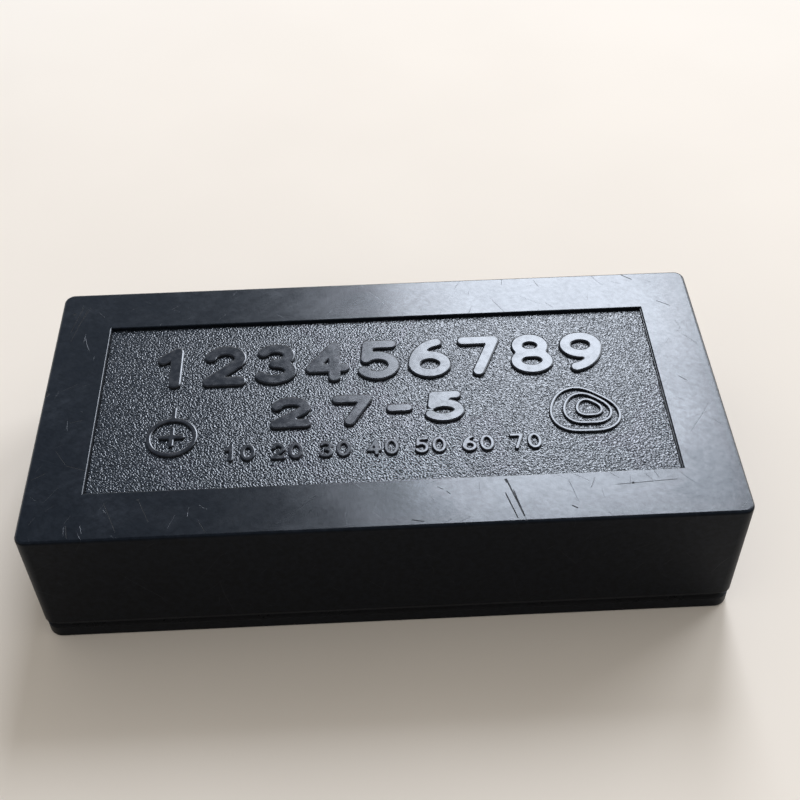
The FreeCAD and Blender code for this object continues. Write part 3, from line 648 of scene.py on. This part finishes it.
def extruded(name, loops, low, height, shoulder=0.0):
    """A mesh that fills closed outlines in the plan, from a level up, with sloping shoulders."""
    curve = bpy.data.curves.new(name, "CURVE")
    curve.dimensions = "2D"
    curve.fill_mode = "BOTH"
    curve.offset = -shoulder * MM
    curve.bevel_depth = shoulder * MM
    curve.bevel_resolution = SHOULDER_STEPS
    curve.extrude = height / 2 * MM
    for loop in loops:
        spline = curve.splines.new("POLY")
        spline.points.add(len(loop) - 1)
        spline.use_cyclic_u = True
        for point, (x, y) in zip(spline.points, loop):
            point.co = (x * MM, y * MM, 0, 1)
    holder = bpy.data.objects.new(name + " outline", curve)
    bpy.context.scene.collection.objects.link(holder)
    holder.location.z = (low + height / 2 - shoulder) * MM
    bpy.context.view_layer.update()
    shown = holder.evaluated_get(bpy.context.evaluated_depsgraph_get())
    mesh = bpy.data.meshes.new_from_object(shown)
    mesh.transform(holder.matrix_world)
    bpy.data.objects.remove(holder)
    top = (low + height) * MM
    for vertex in mesh.vertices:
        drop = top - vertex.co.z
        if 0 < drop < shoulder * MM:
            share = np.interp(drop / (shoulder * MM), ROUND_DROPS, FLAT_DROPS)
            vertex.co.z = top - shoulder * MM * share
    smooth(mesh, EXTRUDED_SHARP)
    return mesh


# The box that the centre lines of every figure below are drawn in
FIGURE_WIDTH = 4.3
FIGURE_HEIGHT = 7.3


def figure(digit, x0, y0, width, height):
    """Centre lines of one figure that fill a box."""
    ring = arc_points(2.15, 2.1, 2.1, 2.1, 0, 360, 40)
    stem = arc_points(3.9, 2.1, 3.85, 5.2, 180, 100, 16)
    upper = arc_points(2.0, 5.5, 1.85, 1.8, 150, -90, 24)
    lower = arc_points(2.0, 1.85, 2.15, 1.85, 90, -150, 24)
    shapes = {
        0: [arc_points(2.15, 3.65, 2.15, 3.65, 0, 360, 50)],
        1: [[(0.7, 5.6), (2.5, 7.3), (2.5, 0.0)]],
        2: [arc_points(2.15, 5.25, 2.05, 2.05, 165, -40, 24) + [(0.1, 0.0), (4.3, 0.0)]],
        3: [upper + lower],
        4: [[(3.1, 0.0), (3.1, 7.3), (0.0, 2.1), (4.3, 2.1)]],
        5: [[(3.9, 7.3), (0.75, 7.3), (0.5, 3.9)] + arc_points(2.0, 2.3, 2.2, 2.3, 130, -150, 26)],
        6: [ring, stem],
        7: [[(0.0, 7.3), (4.2, 7.3), (1.7, 0.0)]],
        8: [arc_points(2.15, 5.5, 1.75, 1.8, 0, 360, 36), arc_points(2.15, 1.9, 2.1, 1.9, 0, 360, 36)],
        9: [[(FIGURE_WIDTH - x, FIGURE_HEIGHT - y) for x, y in stroke] for stroke in (ring, stem)],
    }
    across, up = width / FIGURE_WIDTH, height / FIGURE_HEIGHT
    return [[(x0 + across * x, y0 + up * y) for x, y in stroke] for stroke in shapes[digit]]


# Raised figures and marks on the sunk panel

# Strokes: half width, height and shoulder
TOP_STROKE = (1.05, 0.5, 0.26)
MIDDLE_STROKE = (0.95, 0.5, 0.26)
DASH_STROKE = (0.9, 0.5, 0.26)
SMALL_STROKE = (0.36, 0.4, 0.18)
SURVEY_STROKE = (0.4, 0.42, 0.2)
HILL_STROKE = (0.3, 0.42, 0.16)

# Rows: the lower left corner of the first figure, the pitch, and the size of a figure
TOP_START = (-37.0, 4.6)
TOP_PITCH = 8.55
TOP_SIZE = (5.3, 7.3)
MIDDLE_PLACES = ((2, -17.1), (7, -7.1), (5, 7.7))
MIDDLE_LEVEL = -5.5
MIDDLE_SIZE = (4.9, 4.9)
DASH_ENDS = ((1.6, -3.05), (4.2, -3.05))
SMALL_START = (-24.8, -12.5)
SMALL_PITCH = 7.5
SMALL_COUNT = 7
SMALL_SIZE = (1.7, 2.65)
SMALL_ZERO_SHIFT = 2.75

# Marks: the centre and parts of the survey mark, and the centre, loops (reach, shift) and shape of the hill
SURVEY_PLACE = (-33.4, -7.3)
SURVEY_RADIUS = 3.7
SURVEY_ARM = 1.7
SURVEY_MAST = 6.0
HILL_PLACE = (32.4, -5.2)
HILL_LOOPS = ((5.0, 0.0), (3.4, 0.5), (1.8, 0.9))
HILL_STRETCH = 1.02
HILL_RISE = 0.6
HILL_WAVES = ((2, 0.10, 0.6), (3, 0.07, 1.1))
HILL_STEP = 6


def raised(name, strokes, stroke_size, material):
    """One piece of raised strokes on the recess floor."""
    half_width, height, shoulder = stroke_size
    mesh = extruded(name, outlines(strokes, half_width), RECESS_FLOOR, height, shoulder)
    return new_piece(name, mesh, material, "case_lid")


def top_row(material):
    for digit in range(1, 10):
        strokes = figure(digit, TOP_START[0] + TOP_PITCH * (digit - 1), TOP_START[1], *TOP_SIZE)
        raised(f"raised_figure_{digit}", strokes, TOP_STROKE, material)


def middle_row(material):
    for count, (digit, x) in enumerate(MIDDLE_PLACES):
        strokes = figure(digit, x, MIDDLE_LEVEL, *MIDDLE_SIZE)
        raised(f"raised_middle_figure_{count + 1}", strokes, MIDDLE_STROKE, material)
    raised("raised_middle_dash", [DASH_ENDS], DASH_STROKE, material)


def bottom_row(material):
    """Round numbers: a figure and a nought to each piece."""
    for count in range(SMALL_COUNT):
        x, y = SMALL_START[0] + SMALL_PITCH * count, SMALL_START[1]
        strokes = figure(count + 1, x, y, *SMALL_SIZE) + figure(0, x + SMALL_ZERO_SHIFT, y, *SMALL_SIZE)
        raised(f"raised_small_figure_{count + 1}", strokes, SMALL_STROKE, material)


def survey_mark(material):
    """A control point as a map draws it: a ring with a cross, and a mast on the ring."""
    x, y = SURVEY_PLACE
    ring = arc_points(x, y, SURVEY_RADIUS, SURVEY_RADIUS, 0, 360, 60)
    bar = [(x - SURVEY_ARM, y), (x + SURVEY_ARM, y)]
    post = [(x, y - SURVEY_ARM), (x, y + SURVEY_ARM)]
    mast = [(x, y + SURVEY_RADIUS), (x, y + SURVEY_MAST)]
    raised("raised_survey_mark", [ring, bar, post, mast], SURVEY_STROKE, material)


def hill_loop(reach, shift):
    """A closed contour line, made uneven by waves of a count, a share of the reach and a start in radians."""
    x0, y0 = HILL_PLACE
    loop = []
    for step in range(360 // HILL_STEP + 1):
        turn = math.radians(HILL_STEP * step)
        swell = 1
        for count, share, start in HILL_WAVES:
            swell += share * math.cos(count * turn + start)
        out = reach * swell
        x = x0 + shift + out * math.cos(turn)
        y = y0 + shift * HILL_RISE + HILL_STRETCH * out * math.sin(turn)
        loop.append((x, y))
    return loop


def hill_mark(material):
    """Contour lines of a hill."""
    loops = [hill_loop(reach, shift) for reach, shift in HILL_LOOPS]
    raised("raised_hill_mark", loops, HILL_STROKE, material)


# Grained floor of the recess

# The sheet: its cells, the pitch and depth of its pebbles, the gap round and under it, its thickness, and
# the angle past which its edges stay sharp
GRAIN_CELLS = (450, 180)
GRAIN_PITCH = 0.62
GRAIN_DEPTH = 0.012
PANEL_GAP = 0.01
PANEL_LIFT = 0.06
PANEL_SHARP = 60.0


def grain_height(x, y):
    """Pebbles of the eroded mould, in millimetres."""
    spot = Vector((x, y, 0)) / GRAIN_PITCH
    return GRAIN_DEPTH * noise.noise(spot)


def grained_panel(material):
    """A closed sheet on the recess floor, with a grained top, upright sides and a flat underside."""
    columns, rows = GRAIN_CELLS
    half_x = RECESS_LENGTH / 2 - PANEL_GAP
    half_y = RECESS_WIDTH / 2 - PANEL_GAP
    xs = np.linspace(-half_x, half_x, columns + 1)
    ys = np.linspace(-half_y, half_y, rows + 1)
    floor_level = RECESS_FLOOR + PANEL_GAP
    level = floor_level + PANEL_LIFT
    top = [(x * MM, y * MM, (level + grain_height(x, y)) * MM) for y in ys for x in xs]
    wide = columns + 1
    faces = []
    for row in range(rows):
        for column in range(columns):
            start = row * wide + column
            faces.append((start, start + 1, start + wide + 1, start + wide))
    rim = list(range(wide)) + [row * wide + columns for row in range(1, rows + 1)]
    rim += [rows * wide + column for column in range(columns - 1, -1, -1)]
    rim += [row * wide for row in range(rows - 1, 0, -1)]
    low = len(top)
    foot = [(top[index][0], top[index][1], floor_level * MM) for index in rim]
    count = len(rim)
    for step in range(count):
        after = (step + 1) % count
        faces.append((rim[after], rim[step], low + step, low + after))
    faces.append(tuple(low + step for step in range(count - 1, -1, -1)))
    mesh = bpy.data.meshes.new("grained_panel")
    mesh.from_pydata(top + foot, [], faces)
    smooth(mesh, PANEL_SHARP)
    return new_piece("grained_panel", mesh, material, "case_lid")


# Instrument: printed dials and milled edges

PRINT_LIFT = 0.02
SCALE_MARGIN = 0.9
SCALE_RIM = DIAL_SIGHT - SCALE_MARGIN

# Ticks of a scale: length and half width of the numbered, halved and plain ones
NUMBERED_TICK = (2.2, 0.09)
HALVED_TICK = (1.6, 0.055)
PLAIN_TICK = (1.1, 0.055)

# Numbers of a scale: size and pitch of a figure, its inset in the pitch, its half stroke, and the radius
NUMBER_SIZE = (1.18, 1.9)
NUMBER_PITCH = 1.62
NUMBER_INSET = 0.22
NUMBER_STROKE = 0.15
NUMBER_RADIUS = SCALE_RIM - 3.9

# Each scale: divisions to a turn of the pointers, and every how many there is a number and a longer tick
CENTIMETRES = (100, 10, 5)
INCHES = (39.37, 3, 1)

# Milling on the edge of a bezel: its levels from the dial's middle, the radius under it, and its ribs
MILLING_LEVELS = (4.0, 5.5)
MILLING_ROOT = 19.95
MILLING_TEETH = 140
MILLING_DEPTH = 0.14
MILLING_EDGE = 0.15
STEPS_PER_TOOTH = 4
RIB_ROUNDNESS = 0.7
MILLING_SHARP = 50.0


def about_dial(loops, turn, radius):
    """Loops drawn upright about their own middle, set at a radius with their tops outward."""
    out_x, out_y = math.cos(turn), math.sin(turn)

    def placed(x, y):
        return (radius + y) * out_x + x * out_y, (radius + y) * out_y - x * out_x

    return [[placed(x, y) for x, y in loop] for loop in loops]


def tick(turn, start, end, half_width):
    across_x, across_y = -math.sin(turn) * half_width, math.cos(turn) * half_width
    corners = []
    for radius, side in ((start, -1), (end, -1), (end, 1), (start, 1)):
        corners.append((radius * math.cos(turn) + side * across_x, radius * math.sin(turn) + side * across_y))
    return corners


def number_strokes(number):
    """Centre lines of a number, in the middle of its own box."""
    text = str(number)
    width, height = NUMBER_SIZE
    strokes = []
    for place, digit in enumerate(text):
        x = (place - len(text) / 2) * NUMBER_PITCH + NUMBER_INSET
        strokes += figure(int(digit), x, -height / 2, width, height)
    return strokes


def dial_print(name, material, per_turn, numbered, halved):
    """A scale that reads clockwise from the side of the tracing wheel."""
    loops = []
    for count in range(math.ceil(per_turn)):
        turn = math.pi - count * 2 * math.pi / per_turn
        has_number = count % numbered == 0
        halves = count % halved == 0
        reach, half_width = NUMBERED_TICK if has_number else HALVED_TICK if halves else PLAIN_TICK
        loops.append(tick(turn, SCALE_RIM - reach, SCALE_RIM, half_width))
        if has_number and count < per_turn - 1:
            drawn = outlines(number_strokes(count), NUMBER_STROKE, step=0.05, blend=0.05)
            loops += about_dial(drawn, turn, NUMBER_RADIUS)
    mesh = extruded(name, loops, 0.0, PRINT_LIFT)
    return new_piece(name, mesh, material, "instrument")


def set_on_dial(piece, rear=False):
    """Moves a print made about the origin onto the front dial, or turns it over onto the rear one."""
    level = FRONT_DIAL_TOP - DIAL_CENTRE[2]
    side = -1 if rear else 1
    centre_x, centre_y, centre_z = DIAL_CENTRE
    for vertex in piece.data.vertices:
        x, y, z = vertex.co / MM
        vertex.co = Vector((x + centre_x, side * y + centre_y, side * (z + level) + centre_z)) * MM


def milled_band(name, low, high, material):
    """A closed ring of fine upright ribs round the drum."""
    inner = MILLING_ROOT - MILLING_EDGE
    steps = MILLING_TEETH * STEPS_PER_TOOTH
    rows = ((low, inner, 0), (low, MILLING_ROOT, 0), (low + MILLING_EDGE, MILLING_ROOT, 1),
            (high - MILLING_EDGE, MILLING_ROOT, 1), (high, MILLING_ROOT, 0), (high, inner, 0))
    points, faces = [], []
    for height, radius, ribbed in rows:
        for step in range(steps):
            turn = 2 * math.pi * step / steps
            bulge = ribbed * MILLING_DEPTH * (0.5 + 0.5 * math.cos(MILLING_TEETH * turn)) ** RIB_ROUNDNESS
            reach = radius + bulge
            points.append((DIAL_CENTRE[0] + reach * math.cos(turn), DIAL_CENTRE[1] + reach * math.sin(turn),
                           DIAL_CENTRE[2] + height))
    for row in range(len(rows)):
        start, onward = row * steps, (row + 1) % len(rows) * steps
        for step in range(steps):
            after = (step + 1) % steps
            faces.append((start + step, start + after, onward + after, onward + step))
    mesh = bpy.data.meshes.new(name)
    mesh.from_pydata([Vector(point) * MM for point in points], [], faces)
    smooth(mesh, MILLING_SHARP)
    return new_piece(name, mesh, material, "instrument")


# CAD pieces and the pieces that dress them

def paint(node, material):
    mesh = frame["nodes"][node].data
    mesh.materials.clear()
    mesh.materials.append(material)


def dress_case():
    paint("case_lid", case_plastic("case lid plastic", LID_MARKS))
    paint("case_base", case_plastic("case base plastic", roughness=BASE_ROUGHNESS))
    grained_panel(grain_plastic())
    relief = relief_plastic()
    for row in (top_row, middle_row, bottom_row, survey_mark, hill_mark):
        row(relief)


def dress_instrument():
    bright = metal("bright plating", PLATING_TINT, roughness=0.12, groove_depth=0.002, turned=True)
    turned = metal("turned aluminium", ALUMINIUM_TINT, roughness=0.28, groove_depth=0.006, turned=True)
    steel = metal("steel", STEEL_TINT, roughness=0.25, groove_depth=0.004)
    brass = metal("brass", BRASS_TINT, roughness=0.25, groove_depth=0.004)
    crystal = clear_crystal()
    face = plain_paint("dial paint", DIAL_TINT, roughness=0.5)
    ink = plain_paint("dial ink", INK_TINT, roughness=0.4)
    blued = plain_paint("blued pointer", BLUED_TINT, roughness=0.25)
    grip = plain_paint("grip plastic", GRIP_TINT, roughness=0.22, grain=0.8, depth=0.01)
    finishes = {
        bright: ("front_bezel", "rear_bezel", "nose_shroud", "ferrule", "handle_cap"),
        turned: ("case_ring",),
        steel: ("plate_screws", "dial_screws", "shroud_screws", "tracing_wheel", "roller_arbor",
                "roller_pinion", "intermediate_arbor", "intermediate_pinion", "centre_arbor", "neck_stud"),
        brass: ("front_plate", "rear_plate", "intermediate_wheel", "centre_wheel"),
        crystal: ("front_crystal", "rear_crystal"),
        face: ("front_dial", "rear_dial"),
        blued: ("front_pointer", "rear_pointer"),
        grip: ("handle_grip",),
    }
    for finish, nodes in finishes.items():
        for node in nodes:
            paint(node, finish)
    set_on_dial(dial_print("front_dial_print", ink, *CENTIMETRES))
    set_on_dial(dial_print("rear_dial_print", ink, *INCHES), rear=True)
    near, far = MILLING_LEVELS
    milled_band("front_bezel_milling", near, far, bright)
    milled_band("rear_bezel_milling", -far, -near, bright)


# Stage, light and camera

CAMERA_PLACE = Vector((-1.03, -137.23, 167.07))
CAMERA_AIM = Vector((3.42, 10.44, 12.0))
CAMERA_ROLL = -1.15
CAMERA_LENS = 54.67
CAMERA_CLIP_M = 0.01

# Linear tints of the floor, of the backdrop that it fades into, and of the room that gloss sees
FLOOR_TINTS = ((0.86, 0.825, 0.77), (0.88, 0.845, 0.79))
BACKDROP = (0.955, 0.94, 0.915)
ROOM_MIDDLE = (0.23, 0.285, 0.38)
ROOM_TOP = (0.07, 0.09, 0.13)
ROOM_MIDDLE_HEIGHT = 0.62
FILL_TINT = (1.0, 0.93, 0.85)
FILL_LEVEL = 0.48

# The floor: its clouds' units of noise per millimetre and spread, its reach, and where it fades
FLOOR_PATTERN = 0.02
FLOOR_SPREAD = (0.3, 0.7)
FLOOR_REACH_M = 20.0
FLOOR_FADE_M = (0.11, 0.38)

# Each lamp: place and size in metres, power in watts, linear tint, and roll about its line of sight
LAMP_AIM_M = (0.02, 0.0, 0.02)
LAMPS = {
    "window": ((0.215, 0.97, 0.85), (0.395, 0.66), 10.8, (0.92, 0.94, 1.0), 11.5),
    "wall": ((0.88, 0.74, 0.72), (0.62, 0.70), 5.5, (0.96, 0.97, 1.0), 0.0),
}


def aimed(holder, place, aim, roll):
    """Sets a lamp or a camera in its place, looking at a point."""
    bpy.context.scene.collection.objects.link(holder)
    holder.location = place
    holder.rotation_mode = "QUATERNION"
    look = (Vector(aim) - Vector(place)).to_track_quat("-Z", "Y")
    holder.rotation_quaternion = look @ Quaternion((0, 0, 1), math.radians(roll))


def seen_rays(nodes, links, names):
    """One for the named kinds of ray."""
    path = nodes.new("ShaderNodeLightPath")
    total = path.outputs[names[0]]
    for name in names[1:]:
        either = nodes.new("ShaderNodeMath")
        either.operation = "MAXIMUM"
        links.new(total, either.inputs[0])
        links.new(path.outputs[name], either.inputs[1])
        total = either.outputs[0]
    return total


def blended(nodes, links, factor, first, second):
    """A mix of two shaders."""
    node = nodes.new("ShaderNodeMixShader")
    for value, socket in zip((factor, first, second), node.inputs):
        links.new(value, socket)
    return node.outputs[0]


def floor():
    """A pale floor that keeps the shadow near the object and fades into the backdrop farther out."""
    shader = Shader("pale floor")
    cloud = shader.noise(shader.scaled(FLOOR_PATTERN), detail=2.0)
    shader.feed("Base Color", shader.mix(shader.range(cloud, *FLOOR_SPREAD), *FLOOR_TINTS))
    shader.set(Roughness=0.9, Specular_IOR_Level=0.2)
    nodes, links = shader.nodes, shader.links
    far = nodes.new("ShaderNodeEmission")
    far.inputs["Color"].default_value = (*BACKDROP, 1.0)
    distance = shader.vector_math("LENGTH", shader.place, output="Value")
    direct = seen_rays(nodes, links, ("Is Camera Ray", "Is Glossy Ray", "Is Transmission Ray"))
    fade = shader.times(shader.range(distance, *FLOOR_FADE_M), direct)
    mixed = blended(nodes, links, fade, shader.surface.outputs["BSDF"], far.outputs[0])
    links.new(mixed, nodes["Material Output"].inputs["Surface"])
    corners = [(x * FLOOR_REACH_M, y * FLOOR_REACH_M, 0) for x, y in ((-1, -1), (1, -1), (1, 1), (-1, 1))]
    mesh = bpy.data.meshes.new("floor")
    mesh.from_pydata(corners, [], [(0, 1, 2, 3)])
    mesh.materials.append(shader.material)
    plane = bpy.data.objects.new("floor", mesh)
    bpy.context.scene.collection.objects.link(plane)


def soft_box(name, place, size, power, tint, roll):
    light = bpy.data.lights.new(name, "AREA")
    light.shape = "RECTANGLE"
    light.size, light.size_y = size
    light.energy = power
    light.color = tint
    aimed(bpy.data.objects.new(name, light), place, LAMP_AIM_M, roll)


def surround():
    """A plain backdrop for the camera, a room that darkens upwards for gloss, and a warm fill besides."""
    world = bpy.data.worlds.new("soft surround")
    world.use_nodes = True
    nodes, links = world.node_tree.nodes, world.node_tree.links

    def background(color, strength):
        node = nodes.new("ShaderNodeBackground")
        node.inputs["Color"].default_value = (*color, 1.0)
        node.inputs["Strength"].default_value = strength
        return node

    fill = background(FILL_TINT, FILL_LEVEL)
    plain = background(BACKDROP, 1.0)
    room = background(BACKDROP, 1.0)
    height = nodes.new("ShaderNodeSeparateXYZ")
    links.new(nodes.new("ShaderNodeTexCoord").outputs["Generated"], height.inputs[0])
    fade = nodes.new("ShaderNodeValToRGB")
    steps = fade.color_ramp.elements
    steps[0].color = (*BACKDROP, 1.0)
    steps[1].color = (*ROOM_TOP, 1.0)
    steps.new(ROOM_MIDDLE_HEIGHT).color = (*ROOM_MIDDLE, 1.0)
    links.new(height.outputs["Z"], fade.inputs[0])
    links.new(fade.outputs[0], room.inputs["Color"])
    gloss = seen_rays(nodes, links, ("Is Glossy Ray", "Is Transmission Ray"))
    mixed = blended(nodes, links, gloss, fill.outputs[0], room.outputs[0])
    mixed = blended(nodes, links, seen_rays(nodes, links, ("Is Camera Ray",)), mixed, plain.outputs[0])
    links.new(mixed, nodes["World Output"].inputs["Surface"])
    bpy.context.scene.world = world


def camera():
    lens = bpy.data.cameras.new("camera")
    lens.lens = CAMERA_LENS
    lens.clip_start = CAMERA_CLIP_M
    eye = bpy.data.objects.new("camera", lens)
    aimed(eye, CAMERA_PLACE * MM, CAMERA_AIM * MM, CAMERA_ROLL)
    bpy.context.scene.camera = eye


dress_case()
dress_instrument()
floor()
surround()
for name, settings in LAMPS.items():
    soft_box(name, *settings)
camera()
bpy.context.scene.view_settings.view_transform = "Standard"
